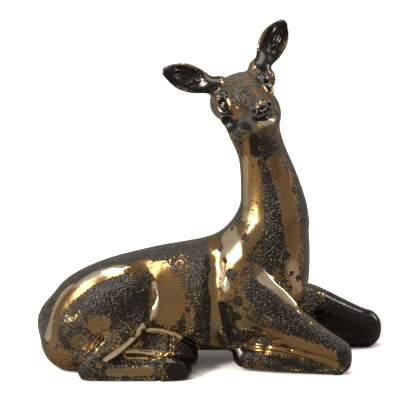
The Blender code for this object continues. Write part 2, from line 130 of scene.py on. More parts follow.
def loft(stations, up=(0, 0, 1), sides=40, steps=5, place=None, grow=0.0):
    # stations are x, y, z and two half sizes, the second of them along up
    rows = curveThrough(stations, steps) + np.array((0, 0, 0, grow, grow))
    rings = []
    for i, row in enumerate(rows):
        along = Vector(rows[min(i + 1, len(rows) - 1)][:3] - rows[max(i - 1, 0)][:3]).normalized()
        rings.append((Vector(row[:3]), along, row[3], row[4]))
    for end, sign in ((0, -1), (-1, 1)):
        centre, along, across, high = rings[end]
        depth = min(across, high)
        dome = []
        for angle in capAngles:
            out, share = math.sin(math.radians(angle)), math.cos(math.radians(angle))
            dome.append((centre + along * sign * depth * out, along, across * share, high * share))
        rings = rings + dome if sign > 0 else dome[::-1] + rings
    bm = bmesh.new()
    before = None
    for centre, along, across, high in rings:
        side = Vector(up).cross(along).normalized()
        tall = along.cross(side).normalized()
        basis = Matrix((side * across, tall * high, along)).transposed().to_4x4()
        basis = Matrix.Translation(centre) @ basis
        ring = bmesh.ops.create_circle(bm, segments=sides, radius=1, matrix=basis)["verts"]
        edges = list({edge for vert in ring for edge in vert.link_edges})
        if before:
            bmesh.ops.bridge_loops(bm, edges=before + edges)
        else:
            bmesh.ops.contextual_create(bm, geom=ring)
        before = edges
    bmesh.ops.contextual_create(bm, geom=ring)
    if place:
        bmesh.ops.transform(bm, matrix=place, verts=bm.verts)
    return bm


def ball(centre, radii, tilt=(0, 0, 0), place=None, grow=0.0):
    bm = bmesh.new()
    matrix = Matrix.Translation(Vector(centre))
    turn = Matrix.Identity(4)
    for angle, axis in zip(tilt, "XYZ"):
        turn = Matrix.Rotation(math.radians(angle), 4, axis) @ turn
    matrix = (place or Matrix.Identity(4)) @ matrix @ turn @ Matrix.Diagonal((*[r + grow for r in radii], 1))
    bmesh.ops.create_icosphere(bm, subdivisions=5, radius=1, matrix=matrix)
    return bm


def meshOf(name, *shapes):
    mesh = bpy.data.meshes.new(name)
    joined = bmesh.new()
    for shape in shapes:
        bmesh.ops.recalc_face_normals(shape, faces=shape.faces)
        shape.to_mesh(mesh)
        shape.free()
        joined.from_mesh(mesh)
    joined.to_mesh(mesh)
    joined.free()
    return mesh


def objectOf(mesh, name=None):
    made = bpy.data.objects.new(name or mesh.name, mesh)
    bpy.context.scene.collection.objects.link(made)
    return made


def settled(obj):  # applies an object's modifiers
    mesh = bpy.data.meshes.new_from_object(obj.evaluated_get(bpy.context.evaluated_depsgraph_get()))
    obj.modifiers.clear()
    obj.data = mesh
    return obj


def fused(name, size, *shapes):  # one skin around overlapping shapes
    obj = objectOf(meshOf(name, *shapes))
    skin = obj.modifiers.new("skin", "REMESH")
    skin.mode = "VOXEL"
    skin.voxel_size = size
    return settled(obj)


class Clay:
    # A dense skin whose points are pushed about, as a modeller works wax
    def __init__(self, obj):
        self.obj = obj
        self.mesh = obj.data
        count = len(self.mesh.vertices)
        self.points = np.zeros(count * 3)
        self.mesh.vertices.foreach_get("co", self.points)
        self.points = self.points.reshape(-1, 3)
        edges = np.zeros(len(self.mesh.edges) * 2, int)
        self.mesh.edges.foreach_get("vertices", edges)
        self.edges = edges.reshape(-1, 2)
        self.degree = np.bincount(self.edges.ravel(), minlength=count)
        self.tree = None
        self.paint = {}

    def normals(self):
        self.store()
        out = np.zeros(len(self.points) * 3)
        self.mesh.vertices.foreach_get("normal", out)
        return out.reshape(-1, 3)

    def store(self):
        self.mesh.vertices.foreach_set("co", self.points.ravel())
        self.mesh.update()

    def relax(self, rounds, weight=1.0):
        # weight may differ from point to point
        weight = np.broadcast_to(np.asarray(weight, float), (len(self.points),))[:, None]
        a, b = self.edges.T
        for _ in range(rounds):
            total = np.empty_like(self.points)
            for k in range(3):
                total[:, k] = np.bincount(a, self.points[b, k], len(self.points))
                total[:, k] += np.bincount(b, self.points[a, k], len(self.points))
            self.points += (total / self.degree[:, None] - self.points) * 0.5 * weight

    def near(self, centre, radius):
        # 1 at the centre and 0 from the radius on; radius may be three half axes
        away = np.linalg.norm((self.points - np.array(centre)) / np.array(radius), axis=1)
        return np.clip(1 - away**2, 0, 1) ** 2

    def alongPath(self, path, reach):
        # distance from every point to a path, and how far along it the nearest spot is
        away = np.full(len(self.points), 1e9)
        share = np.zeros(len(self.points))
        inside = np.all((self.points > path.min(0) - reach) & (self.points < path.max(0) + reach), axis=1)
        points = self.points[inside]
        best, at = away[inside], share[inside]
        lengths = np.linalg.norm(np.diff(path, axis=0), axis=1)
        travelled = 0.0
        for start, end, length in zip(path, path[1:], lengths):
            step = (end - start) / length
            t = np.clip((points - start) @ step, 0, length)
            gap = np.linalg.norm(points - start - t[:, None] * step, axis=1)
            closer = gap < best
            best[closer] = gap[closer]
            at[closer] = travelled + t[closer]
            travelled += length
        away[inside], share[inside] = best, at / travelled
        return away, share, travelled

    def stroke(self, path, width, depth, point=2.0, closed=False, facing=None):
        # a groove (depth below 0) or a ridge along a path; a high point makes it sharper
        away, share, length = self.alongPath(path, width)
        weight = np.clip(1 - (away / width) ** 2, 0, 1) ** point
        if not closed:
            fade = np.clip(np.minimum(share, 1 - share) * length / min(width * 1.5, length / 2), 0, 1)
            weight *= fade * fade * (3 - 2 * fade)
        self.move(weight, depth, facing)

    def press(self, centre, radius, push):
        # moves a soft patch; push is a vector, or a distance along the normals
        self.move(self.near(centre, radius), push)

    def move(self, weight, push, facing=None):
        if facing is not None or np.isscalar(push):
            normals = self.normals()
        if facing is not None:  # only the side of the wax that looks this way
            weight = weight * np.clip(normals @ np.array(facing) * 2.5, 0, 1)
        self.points += weight[:, None] * np.array(push) * (normals if np.isscalar(push) else 1.0)

    def setTree(self):
        # what cast and ring measure on, from the wax as it is now
        self.store()
        faces = [tuple(face.vertices) for face in self.mesh.polygons]
        self.tree = BVHTree.FromPolygons(self.points.tolist(), faces)

    def cast(self, spots, matrix, steps=4):
        # lays spots (across, up) on the wax, looking along the +Y of a frame
        spots = curveThrough(spots, steps) if len(spots) > 1 else spots
        along = (matrix.to_3x3() @ Vector((0, 1, 0))).normalized()
        hits = [self.tree.ray_cast(matrix @ Vector((across, -150, up)), along)[0] for across, up in spots]
        return np.array([hit[:] for hit in hits if hit is not None])

    def ring(self, centre, axis, radius, spots=24):
        # a circle around an axis, laid on the wax
        turn = Vector(axis).to_track_quat("Z", "Y")
        angles = np.linspace(0, math.tau, spots + 1)
        arms = [turn @ Vector((radius * math.cos(angle), radius * math.sin(angle), 0)) for angle in angles]
        return np.array([self.tree.find_nearest(Vector(centre) + arm)[0][:] for arm in arms])

    def brush(self, coat, path, width, value):
        # paints a coat towards a value; one spot makes a dab, and width may be two half axes
        if len(path) == 0:
            return
        if len(path) == 1:
            wide, tall = width if isinstance(width, tuple) else (width, width)
            weight = self.near(path[0], (wide, max(wide, tall) * 1.5, tall)) ** 0.5
        else:
            weight = np.clip(1 - (self.alongPath(path, width)[0] / width) ** 2, 0, 1)
        self.paint[coat] += (value - self.paint[coat]) * np.clip(weight * 1.6, 0, 1)


print("tools ready")

# The doe's form, from rump to chest along X


def headFrame(origin, turns):
    # the face looks along the frame's own -Y
    made = Matrix.Translation(origin)
    for degrees, axis in zip(turns, "XYZ"):
        made = made @ Matrix.Rotation(math.radians(degrees), 4, axis)
    return made


headPlace = headFrame((27, -22, 202), (-18, -24, 11))  # for the ears
facePlace = headFrame((23.9, -23.1, 198.7), (-18, -24, 9.5))
trunk = [  # x, y, z, half width, half height
    (-100, 0, 28, 22, 22), (-94, 0, 30.5, 27, 27), (-82, 0, 35, 30, 31), (-60, 0, 43, 32, 33),
    (-35, 0, 46.3, 32, 36.7), (-16, 0, 48, 32, 39), (0, 0, 49.5, 32, 41), (20, 0, 50.5, 32, 40.5),
    (38, 0, 52, 28, 34),
]
chestAndNeck = [
    (32, 0, 26, 22, 22), (34, 0, 36, 25, 30), (35, 0, 58, 28, 34.5), (38, 0, 76, 28, 33), (42, 0, 95, 25, 29),
    (44.8, 0, 107, 22, 25.3), (43.8, 0, 120, 19, 22.6), (41, 0, 135, 17, 20), (36.8, -1, 152, 15.5, 17.2),
    (33.2, -2, 163, 15.5, 17.4), (30, -4, 174, 16, 19), (27, -8, 188, 16, 18),
]


def bodyShapes():
    shapes = [loft(trunk, sides=64), loft(chestAndNeck, up=(1, 0, 0), sides=64)]
    shapes.append(ball((12, 0, 84), (24, 15, 12), (0, -28, 0)))  # withers
    for side in (-1, 1):
        shapes.append(ball((28, side * 19, 66), (25, 15, 38), (0, 8, 0)))  # shoulder
        shapes.append(ball((-94, side * 16, 19), (25, 20, 21)))  # buttock
    shapes.append(ball((-73, -27, 47), (40, 18, 27), (0, -38, 0)))  # right thigh
    shapes.append(ball((-70, 24, 36), (38, 20, 24), (0, -30, 0)))  # left thigh
    tail = [(-102, 7, 43, 5, 4), (-107, 9, 34, 5.5, 4), (-109.5, 10, 24, 5, 4), (-110, 10, 15, 3.5, 3)]
    shapes.append(loft(tail, up=(1, 0, 0)))
    return shapes


def rightForeleg(grow=0.0):
    arm = [
        (22, -20, 66, 14, 17), (36, -24, 52, 14, 18), (52, -27, 38, 12.5, 15.5), (70, -28.5, 27, 11, 12),
        (90, -29, 16, 9.5, 9.5),
    ]
    cannon = [
        (91, -28, 8, 8.5, 8.7), (70, -26, 7.2, 8, 7.5), (45, -24, 7.5, 8, 7.2), (34, -22, 8.5, 8, 8.2),
        (24, -20, 9.3, 8.2, 9),
    ]
    web = [(44, -25, 17, 7.5, 9), (66, -27.5, 14, 8, 8), (86, -29, 11.5, 7.5, 7)]
    knee = ball((90, -27.5, 12), (10, 9.5, 13.4), grow=grow)
    return [knee] + [loft(rows, grow=grow) for rows in (arm[2:] if grow else arm, cannon, web)]


def leftForeleg(grow=0.0):
    arm = [
        (36, 20, 50, 14, 16), (55, 27, 38, 13, 14), (71, 30, 32.5, 12, 13.5), (92, 31, 24, 10.5, 11),
        (108, 31.5, 17, 9.5, 10),
    ]
    cannon = [(111, 31.5, 8, 9, 9.6), (88, 29, 7.6, 8, 8), (62, 24, 8, 7.6, 7.6), (45, 21, 9.5, 8.4, 9.2)]
    web = [(46, 21, 24, 11, 15), (62, 25, 20, 10, 13), (82, 29, 16, 8.5, 11), (104, 31, 12, 8, 9)]
    knee = ball((111, 31.5, 12.6), (11.5, 10, 14.8), grow=grow)
    return [knee] + [loft(rows, grow=grow) for rows in (arm[1:] if grow else arm, cannon, web)]


def rightHindLeg(grow=0.0):
    shin = [(-48, -34, 44, 9, 11), (-66, -38, 27, 9, 10), (-84, -39.5, 11, 8.5, 9)]
    foot = [(-84, -39, 6.5, 8.5, 9.5), (-60, -39, 5, 8, 8), (-36, -39, 5.5, 8, 8)]
    hoof = [(-34, -39, 7, 8.5, 9.8), (-24, -39, 7, 9, 9.8), (-19, -39, 6.2, 8, 8)]
    return [loft(rows, grow=grow) for rows in (shin, foot, hoof)]


def leftHindFoot(grow=0.0):
    foot = [(-66, -18, 15, 8, 9), (-48, -23, 19.5, 8, 7.6), (-30, -25, 19.6, 8, 7.6)]
    hoof = [(-28, -25, 18, 9, 8.6), (-18, -26, 14, 9, 9.5), (-14.5, -26, 11, 8, 8.5)]
    web = [(-70, -26, 12, 12, 8), (-50, -30, 12, 8, 5), (-28, -30, 11, 8, 5)]
    return [loft(rows, grow=grow) for rows in (foot, hoof, web)]


def skullShapes():
    face = [
        (0, 14, 0, 21, 15), (0, 4, 0, 20.5, 15.5), (0, -6, -1, 17.5, 15), (0, -14, -5, 13.5, 13),
        (0, -24, -10, 10.4, 10.8), (0, -32, -13, 9.4, 9.4), (0, -38, -14, 8.6, 7.8),
    ]
    cheeks = [
        (0, 8, -10, 15, 14), (0, -6, -12.5, 14.5, 14), (0, -16, -15, 12.4, 12.4), (0, -25, -17.5, 9.6, 10),
        (0, -33, -18, 7.6, 8),
    ]
    shapes = [loft(face, place=facePlace), loft(cheeks, place=facePlace)]
    shapes.append(ball((0, -30.5, -23), (7.6, 6.6, 5.2), place=facePlace))  # chin
    shapes.append(ball((0, 12, 1.5), (22, 20, 17), place=facePlace))  # skull
    shapes.append(ball((-3, 24, -7), (14, 13, 14), place=facePlace))  # throat
    shapes.append(ball((10, 22, -12), (15, 13, 18), place=facePlace))  # left side of the nape
    shapes.append(ball((0.5, -37.5, -12), (9.4, 6, 6.4), place=facePlace))  # muzzle
    shapes.append(ball((0.6, -41.2, -9.6), (4.4, 3.6, 4), place=facePlace))  # nose
    for side in (-1, 1):
        shapes.append(ball((side * 15.5, 8, 12), (8, 7.5, 8), place=headPlace))  # ear base
        shapes.append(ball((side * 16, 8, 5), (8, 8, 9), place=headPlace))
        shapes.append(ball((side * 14.4, -6.3, 7), (6.6, 5.6, 4.6), place=facePlace))  # brow
        shapes.append(ball((side * 13.5, -3.5, -1), (7.5, 8.5, 9), place=facePlace))  # cheekbone
    return shapes


def earRows(side, reach):
    # side is -1 on her right; reach stretches the ear from its root
    rows = [
        (14, 7, 10, 6, 6), (20, 8, 15, 6.2, 5.5), (27, 8, 21, 9.6, 4), (34, 7, 27, 10, 3.4),
        (39, 6, 31, 7.4, 2.8), (43, 5, 34, 3.8, 2),
    ]
    rootX, rootZ = rows[0][0], rows[0][2]
    return [
        (side * (rootX + (x - rootX) * reach), y, rootZ + (z - rootZ) * reach, across, thick)
        for x, y, z, across, thick in rows
    ]


def refined(obj, levels):
    smooth = obj.modifiers.new("smooth", "SUBSURF")
    smooth.levels = levels
    smooth.render_levels = levels
    return settled(obj)


voxel = {"body": 2.8, "head": 1.1, "limb": 2.5, "ear": 1.6}  # millimetres
smoothed = [  # centre, half axes, rounds
    ((10, 0, 92), (42, 40, 32), 40),  # withers
    ((28, 0, 66), (40, 60, 50), 14),  # shoulders
    ((-116, -4, 24), (22, 46, 34), 30),  # rump
]
limbShapes = (*rightForeleg(), *leftForeleg(), *rightHindLeg(), *leftHindFoot())
body = fused("body", voxel["body"], *bodyShapes(), *limbShapes)
bodyClay = Clay(body)
# the legs stay firm
firm = bodyClay.near((80, 30, 18), (60, 18, 34)) + bodyClay.near((80, -26, 18), (66, 20, 32))
firm += bodyClay.near((-52, -40, 10), (50, 14, 24)) + bodyClay.near((-30, -26, 14), (40, 14, 16))
bodyClay.relax(7, np.clip(1 - firm * 1.6, 0.12, 1))
for centre, halfAxes, rounds in smoothed:
    bodyClay.relax(rounds, bodyClay.near(centre, halfAxes) ** 0.5)
bodyClay.store()
bodyClay = Clay(refined(body, 2))

ears = {-1: earRows(-1, 1.12), 1: earRows(1, 1.03)}
earShapes = [loft(rows, up=(0, -1, 0), place=headPlace) for rows in ears.values()]
neckShape = loft(chestAndNeck[7:], up=(1, 0, 0), sides=64)
head = fused("head", voxel["head"], *skullShapes(), *earShapes, neckShape)
headClay = Clay(head)
headClay.relax(6)
headClay.store()
headClay = Clay(refined(head, 1))
print("wax", len(bodyClay.points), len(headClay.points))

# Modelling of the body, sketched from her right side, looking 18 degrees down

fromRight = Matrix.Rotation(math.radians(-18), 4, "X")
fromLeft = Matrix.Rotation(math.pi, 4, "Z") @ fromRight
strokes = {  # spots (along X, up), then width, depth, point
    "thighTop": ([(-104, 27), (-96, 41), (-79, 55), (-61, 62), (-50, 63)], 10, -2.4, 1.5),
    "thighFront": (
        [(-60, 64), (-48.5, 63), (-41, 56), (-38.5, 45), (-41, 34), (-45, 24), (-52, 17)],
        4.2, -3.8, 2,
    ),
    "shinBack": ([(-72, 19), (-84, 6.5), (-96, -6)], 3.2, -3.2, 2.5),
    "shinFront": ([(-50, 18), (-62, 8), (-76, -2)], 3.4, -2.8, 2.5),
    "footTop": ([(-76, -1.5), (-56, 0.5), (-32, 0.5)], 2.6, -1.8, 2.5),
    "footUpper": ([(-60, 7), (-44, 6), (-27, 4.6)], 2.4, -1.8, 2.5),
    "bellyFoot": ([(-52, 20), (-38, 21.5), (-24, 18.5), (-6, 9)], 2.6, -2.4, 2.5),
    "shoulderBack": ([(3, 79), (4.5, 64), (3, 54), (4, 45), (4, 28), (4, 8)], 8.5, -3.4, 1.6),
    "elbowHollow": ([(8, 42), (11, 31), (14, 20), (24, 15)], 7, -7, 1.5),
    "neckDent": ([(30, 95), (36, 78), (43, 62), (50, 48)], 13, -3.4, 1.3),
    "armTop": ([(33, 66), (42, 57), (52, 47), (63, 35)], 4.5, 2.2, 1.5),
    "armNotch": ([(46, 62), (56, 50), (65, 36)], 6, -2.0, 1.5),
    "cannonTop": ([(22, 13.5), (45, 10), (70, 5), (94, -2.5)], 2.2, -1.6, 2),
    "cannonFront": ([(22, 9.5), (41, 7), (65, 1.6), (86, -6)], 2.4, -1.8, 2),
    "armBelow": ([(25, 16), (38, 15.8), (52, 14.4)], 2.4, -1.2, 2),
}
bodyClay.setTree()
paths = {name: bodyClay.cast(spots, fromRight) for name, (spots, *_) in strokes.items()}
mirrored = ("thighTop", "thighFront", "shoulderBack", "neckDent")  # the same on her left side
for name in mirrored:
    paths[name + "Left"] = bodyClay.cast([(-x, v) for x, v in strokes[name][0]], fromLeft)
fetlocks = [bodyClay.ring(centre, (1, 0, 0), 9) for centre in ((-35, -39, 5.5), (-27, -25, 19))]
for name, (spots, width, depth, point) in strokes.items():
    bodyClay.stroke(paths[name], width, depth, point)
for name in mirrored:
    spots, width, depth, point = strokes[name]
    bodyClay.stroke(paths[name + "Left"], width, depth * 0.8, point)
for ring in fetlocks:
    bodyClay.stroke(ring, 2.2, -1.3, 2, closed=True)
    bodyClay.stroke(ring + np.array((2.6, 0, 0)), 2.0, 1.0, 2, closed=True)
bodyClay.relax(1)
print("body modelled")

# Modelling of the head, in its own frame: the face looks along -Y, and +Z is up

toFace = facePlace.to_3x3()
front = toFace @ Vector((0, -1, 0))
eyeball = {
    "at": (15.4, -7.4, 0.3), "radius": 4.3, "outward": (0.6, -0.8, 0.06),
    "cuts": ((0.52, 0.28, 0.045), (0.0, 0.75, 0.05)),  # share of the radius, width, depth: ring and pupil
}
headClay.setTree()
lidRings, jaws = [], []
for side in (-1, 1):
    outward = toFace @ Vector((side * eyeball["outward"][0], *eyeball["outward"][1:]))
    middle = facePlace @ Vector((side * eyeball["at"][0], *eyeball["at"][1:]))
    lids = headClay.ring(middle + outward * 4, outward, 5.2)
    duct = headClay.cast([(side * 11.5, -3), (side * 8.5, -8)], facePlace)
    nostril = headClay.cast([(0.6 + side * 6.2, -12)], facePlace)[0]
    wing = headClay.ring(nostril, toFace @ Vector((side * 0.5, -1, 0.2)), 3)
    jaw = [(side * 16.4, -6), (side * 15.8, -11), (side * 13.2, -15.5), (side * 10.6, -19), (side * 8, -21.5)]
    jaw = headClay.cast(jaw, facePlace)
    headClay.press(middle + outward * 5, 8, -outward * 3.0)
    headClay.stroke(lids, 2.1, 1.9, 1.5, closed=True)
    lidRings.append(lids)
    headClay.stroke(duct, 2.2, -1.2)
    headClay.press(nostril, 2.4, toFace @ Vector((0, 2.2, 0)))
    headClay.stroke(wing, 1.7, 0.7, 1.5, closed=True)
    headClay.stroke(jaw, 5, -4.2 if side < 0 else -1.2, 1.6)
    jaws.append(jaw)
headClay.setTree()
headClay.stroke(headClay.ring(facePlace @ Vector((0.6, -44, -9.6)), front, 3.6), 1.2, -0.8, 1.5, closed=True)
mouth = [(-7, -16.6), (-5, -18.6), (-1, -19.6), (3, -19.8), (7, -19.4), (10, -17.8), (11.5, -15.6)]
lip = headClay.cast([(x * 0.9, v - 2.7) for x, v in mouth[1:-1]], facePlace)
mouthLine = headClay.cast(mouth, facePlace)
headClay.stroke(mouthLine, 2.4, -3.4, 1.5)
headClay.stroke(lip, 2.6, 2.2, 1.5)
headClay.stroke(headClay.cast([(1, -14.8), (1.5, -18.6)], facePlace), 1.3, -0.8)
earLines = {side: [(row[0], row[2]) for row in rows[1:]] for side, rows in ears.items()}
for line in earLines.values():
    headClay.stroke(headClay.cast(line, headPlace), 9.2, -4.2, 1.1, facing=front)
headClay.setTree()
for line in earLines.values():
    root, tip = np.array(line[0]), np.array(line[-1])
    along = (tip - root) / np.linalg.norm(tip - root)
    across = np.array((-along[1], along[0]))
    for vein in (-0.9, -0.5, 0, 0.5, 0.9):
        start = root + along * (7 + 5 * abs(vein))
        bend = root + along * 16 + across * vein * 4.5
        end = tip - along * 5 + across * vein * 2.5
        headClay.stroke(headClay.cast([start, bend, end], headPlace), 1.1, 0.8, 1.5, facing=front)
headClay.relax(1)

nape = {"top": 176, "depth": 9}  # here the head's wax is laid on the body's
bodyClay.setTree()
for i in np.nonzero(headClay.points[:, 2] < nape["top"])[0]:
    on, _, _, gap = bodyClay.tree.find_nearest(headClay.points[i])
    share = np.clip((nape["top"] - headClay.points[i, 2]) / nape["depth"], 0, 1) * np.clip(4 - gap, 0, 1)
    headClay.points[i] += (np.array(on) - headClay.points[i]) * share * share * (3 - 2 * share)
print("head modelled")

# Patina: crust is the dark grainy coat, glaze the smooth black one, and 0 of both is bare bronze. The black
# coat also paints shade in creases and under the jaw, and a third coat paints the lamps' highlights pale

crust = {  # spots (along X, up), then width and amount
    "back": (
        [(-113, 20), (-108, 38), (-99, 51), (-86, 61), (-66, 68.5), (-40, 74.5), (-13, 78.5), (4, 81)],
        10, 0.95,
    ),
    "rump": ([(-118, 26)], (7, 20), 0.9),
    "thigh": ([(-66, 42)], (30, 22), 0.95),
    "valley": ([(-109, 14), (-105, 33), (-98, 43.5), (-79, 57.5), (-58, 65), (-43, 68)], 5, 0.0),
    "thighPatch": ([(-75, 26.6)], (9, 8), 0.2),
    "thighLow": ([(-89, 14)], (9, 7), 0.35),
    "rumpLow": ([(-106, 3.5)], (13, 8), 0.2),
    "barrel": ([(-13, 49)], (18, 36), 0.66),
    "flank": ([(-29, 42)], (14, 22), 0.0),
    "flankTop": ([(-34, 64)], (9, 6), 0.2),
    "barrelLow": ([(-10, 28)], (9, 9), 0.35),
    "girth": ([(-4, 76), (-3, 50), (-4, 24)], 7, 0.85),
    "shoulderBack": ([(3, 84), (5, 66), (3, 54), (5, 44), (4.5, 12)], 4.5, 0.0),
    "shoulderTop": ([(16, 79)], (13, 18), 0.0),
    "shoulder": ([(18, 42)], (15, 22), 0.42),
    "neckBack": ([(21, 163), (21, 130), (20, 103)], 4, 0.62),
    "neckLeft": ([(26.5, 150), (26.5, 98)], 4, 0.05),
    "neckMiddle": ([(33.6, 142), (33.6, 98), (29, 84)], 5.5, 0.1),
    "neckBand": ([(38, 150), (42, 126), (44.8, 101), (45, 84), (41.5, 68.6)], 7.5, 0.85),
    "neckRight": ([(45, 138), (53, 115.5), (58, 91), (58, 66.5), (61, 45.5)], 6.5, 0.1),
    "throatRim": ([(53, 150), (61.5, 126), (66.5, 105), (68.5, 84), (68, 63)], 6.5, 0.9),
    "armTop": ([(36, 61), (48, 50), (61, 37)], 5, 0.0),
    "forearm": ([(34, 47.6), (49.7, 35), (70.7, 19.6), (95, 5.6)], 9, 0.95),
    "forearmLow": ([(21.7, 28), (42.7, 18.9), (67, 10.5), (84, 3.5)], 5.5, 0.1),
    "web": ([(33, 10), (63.7, 4.2), (87, -2.5)], 3.4, 0.0),
    "knee": ([(97, 0)], (6, 11), 0.85),
    "cannon": ([(28.7, 3.5), (49.7, 1.4), (72, -3.5)], 5, 0.85),
    "cannonLow": ([(37, -5.6), (70.7, -9)], 3.2, 0.3),
    "hindFoot": ([(-69, -3.5)], (34, 11), 0.75),
    "hindFootLow": ([(-69, -7.5), (-41, -6.5)], 3.2, 0.1),
    "feetWeb": ([(-57, 3.6), (-31, 3.2)], 2.8, 0.15),
    "secondFoot": ([(-36, 12)], (14, 7), 0.72),
}
spotsOfCrust = [  # along X, up, radius
    (16, 92, 2), (25, 86, 3), (15, 60, 5), (20, 42, 4.5), (19, 31.5, 4.5), (29, 49, 5),
    (8, 78, 2.5), (11, 70, 2.5), (53, 73.5, 4), (57, 61, 2.5), (56, 51, 2.5), (62, 58, 3),
]
glaze = {
    "hindHoof": ([(-20, -5)], (13, 13), 1.0),
    "secondHoof": ([(-15, 6)], (9.5, 13), 1.0),
    "foreHoof": ([(19, 2)], (7, 10), 1.0),
    # painted shade: the elbow hollow and the throat under the jaw are coated black where shade falls
    "elbow": ([(9, 40), (11, 30), (14, 18), (20, 16)], 3.5, 1.0),
    "throat": ([(31, 154), (32, 144)], 5, 0.8),
}
pale = {  # painted highlights: pale cream where the lamps mirror brightest in the bronze
    "shoulderTop": ([(14, 88), (17, 76)], 8, 0.9),
    "shoulderEdge": ([(9, 76), (10, 64), (11, 52)], 4, 0.9),
    "armTop": ([(37, 58), (48, 51), (60, 41)], 4.5, 0.9),
    "valley": ([(-112, 18), (-105, 40), (-96, 51), (-80, 60), (-60, 66)], 4.5, 1.0),
    "thighEdge": ([(-38, 54), (-36.5, 42), (-39, 30)], 2.2, 1.0),
    "bellyFoot": ([(-44, 22.5), (-34, 22.5), (-21, 18), (-13, 11)], 2.0, 1.0),
    "shinEdge": ([(-46, 25), (-55, 13), (-72, 1.5)], 2.2, 1.0),
    "footEdge": ([(-57, 6.3), (-36, 6.3)], 1.6, 0.8),
    "neckLeft": ([(25, 140), (25, 100)], 3.5, 0.5),
    "chest": ([(58, 66), (62, 50)], 5, 0.5),
}
groundCoats = {"crust": 0.6, "glaze": 0.0, "pale": 0.0}
for clay in (bodyClay, headClay):
    clay.paint = {coat: np.full(len(clay.points), value) for coat, value in groundCoats.items()}
for matrix, turned in ((fromRight, 1), (fromLeft, -1)):
    for coat, dabs in (("crust", crust), ("glaze", glaze), ("pale", pale)):
        for spots, width, amount in dabs.values():
            path = bodyClay.cast([(x * turned, v) for x, v in spots], matrix)
            for clay in (bodyClay, headClay):
                clay.brush(coat, path, width, amount)
                # painted highlights clear the crust beneath them
                if coat == "pale":
                    clay.brush("crust", path, width, 0.0)
    for x, v, radius in spotsOfCrust:
        bodyClay.brush("crust", bodyClay.cast([(x * turned, v)], matrix), radius, 0.95)
for name in ("thighFront", "shinFront", "shinBack", "footUpper", "bellyFoot", "armTop"):
    bodyClay.brush("crust", paths[name], 2.8, 0.0)
farLeg = bodyClay.near((95, 34, 18), (42, 30, 34)) ** 0.4
bodyClay.paint["glaze"] = np.maximum(bodyClay.paint["glaze"], np.clip(farLeg * 1.3, 0, 1))
for line in earLines.values():
    headClay.brush("glaze", headClay.cast(line, headPlace), 9.5, 1.0)
nostrils = headClay.cast([(-3.5, -13), (4.5, -13)], facePlace)
noseBridge = headClay.cast([(-4, 4), (-6, -8), (2, -14)], facePlace)
noseTip = headClay.cast([(0.6, -9.6)], facePlace)
headClay.brush("glaze", nostrils, 3.6, 0.9)
headClay.brush("crust", lip, 2.6, 0.0)
for lids in lidRings:
    headClay.brush("crust", lids, 1.8, 0.2)
headClay.brush("crust", noseBridge, 9, 0.8)
headClay.brush("crust", noseTip, 3.5, 0.3)
# painted shadow: black in the crease behind her right jaw and in the mouth groove, where shade falls
headClay.brush("glaze", jaws[0], 6.2, 1.0)
headClay.brush("glaze", mouthLine, 3.4, 1.0)
headClay.brush("crust", lip, 3.4, 0.0)
# painted highlight along the lower lip
headClay.brush("pale", lip, 3.4, 0.8)
headClay.brush("glaze", lip, 3, 0.0)
for side in (-1, 1):
    brow = headClay.cast([(side * 14.5, 7)], facePlace)
    cheek = headClay.cast([(side * 15, -7), (side * 9, -6)], facePlace)
    headClay.brush("glaze", brow, 4.5, 1.0)
    headClay.brush("crust", cheek, 3, 0.1)
for clay in (bodyClay, headClay):
    clay.store()
    for coat, values in clay.paint.items():
        clay.mesh.attributes.new(coat, "FLOAT", "POINT").data.foreach_set("value", values.astype(np.float32))
print("patina painted")

# Finishes


def linear(hexColour):
    parts = [int(hexColour[i : i + 2], 16) / 255 for i in (1, 3, 5)]
    return tuple(p / 12.92 if p <= 0.04045 else ((p + 0.055) / 1.055) ** 2.4 for p in parts) + (1,)


def addNode(tree, kind, settings, inputs):
    # one node: an input is a value, or the (node, output) that feeds it
    made = tree.nodes.new(kind)
    for key, value in settings.items():
        setattr(made, key, value)
    for key, value in inputs.items():
        if isinstance(value, tuple) and isinstance(value[0], bpy.types.Node):
            tree.links.new(value[0].outputs[value[1]], made.inputs[key])
        else:
            made.inputs[key].default_value = value
    return made


def newMaterial(name):
    made = bpy.data.materials.new(name)
    made.use_nodes = True
    return made, made.node_tree, made.node_tree.nodes["Principled BSDF"]


patina = {  # sizes in millimetres
    # the pale cream paints highlights; the near-black glaze also paints shade in creases
    "bare": "#8E7348", "warm": "#93693A", "dull": "#7F725A", "pale": "#DCC9A8", "crust": "#0A0703",
    "glaze": "#050302", "patch": 7.0, "drift": 26.0, "bareRoughness": 0.22, "crustRoughness": 0.16,
}


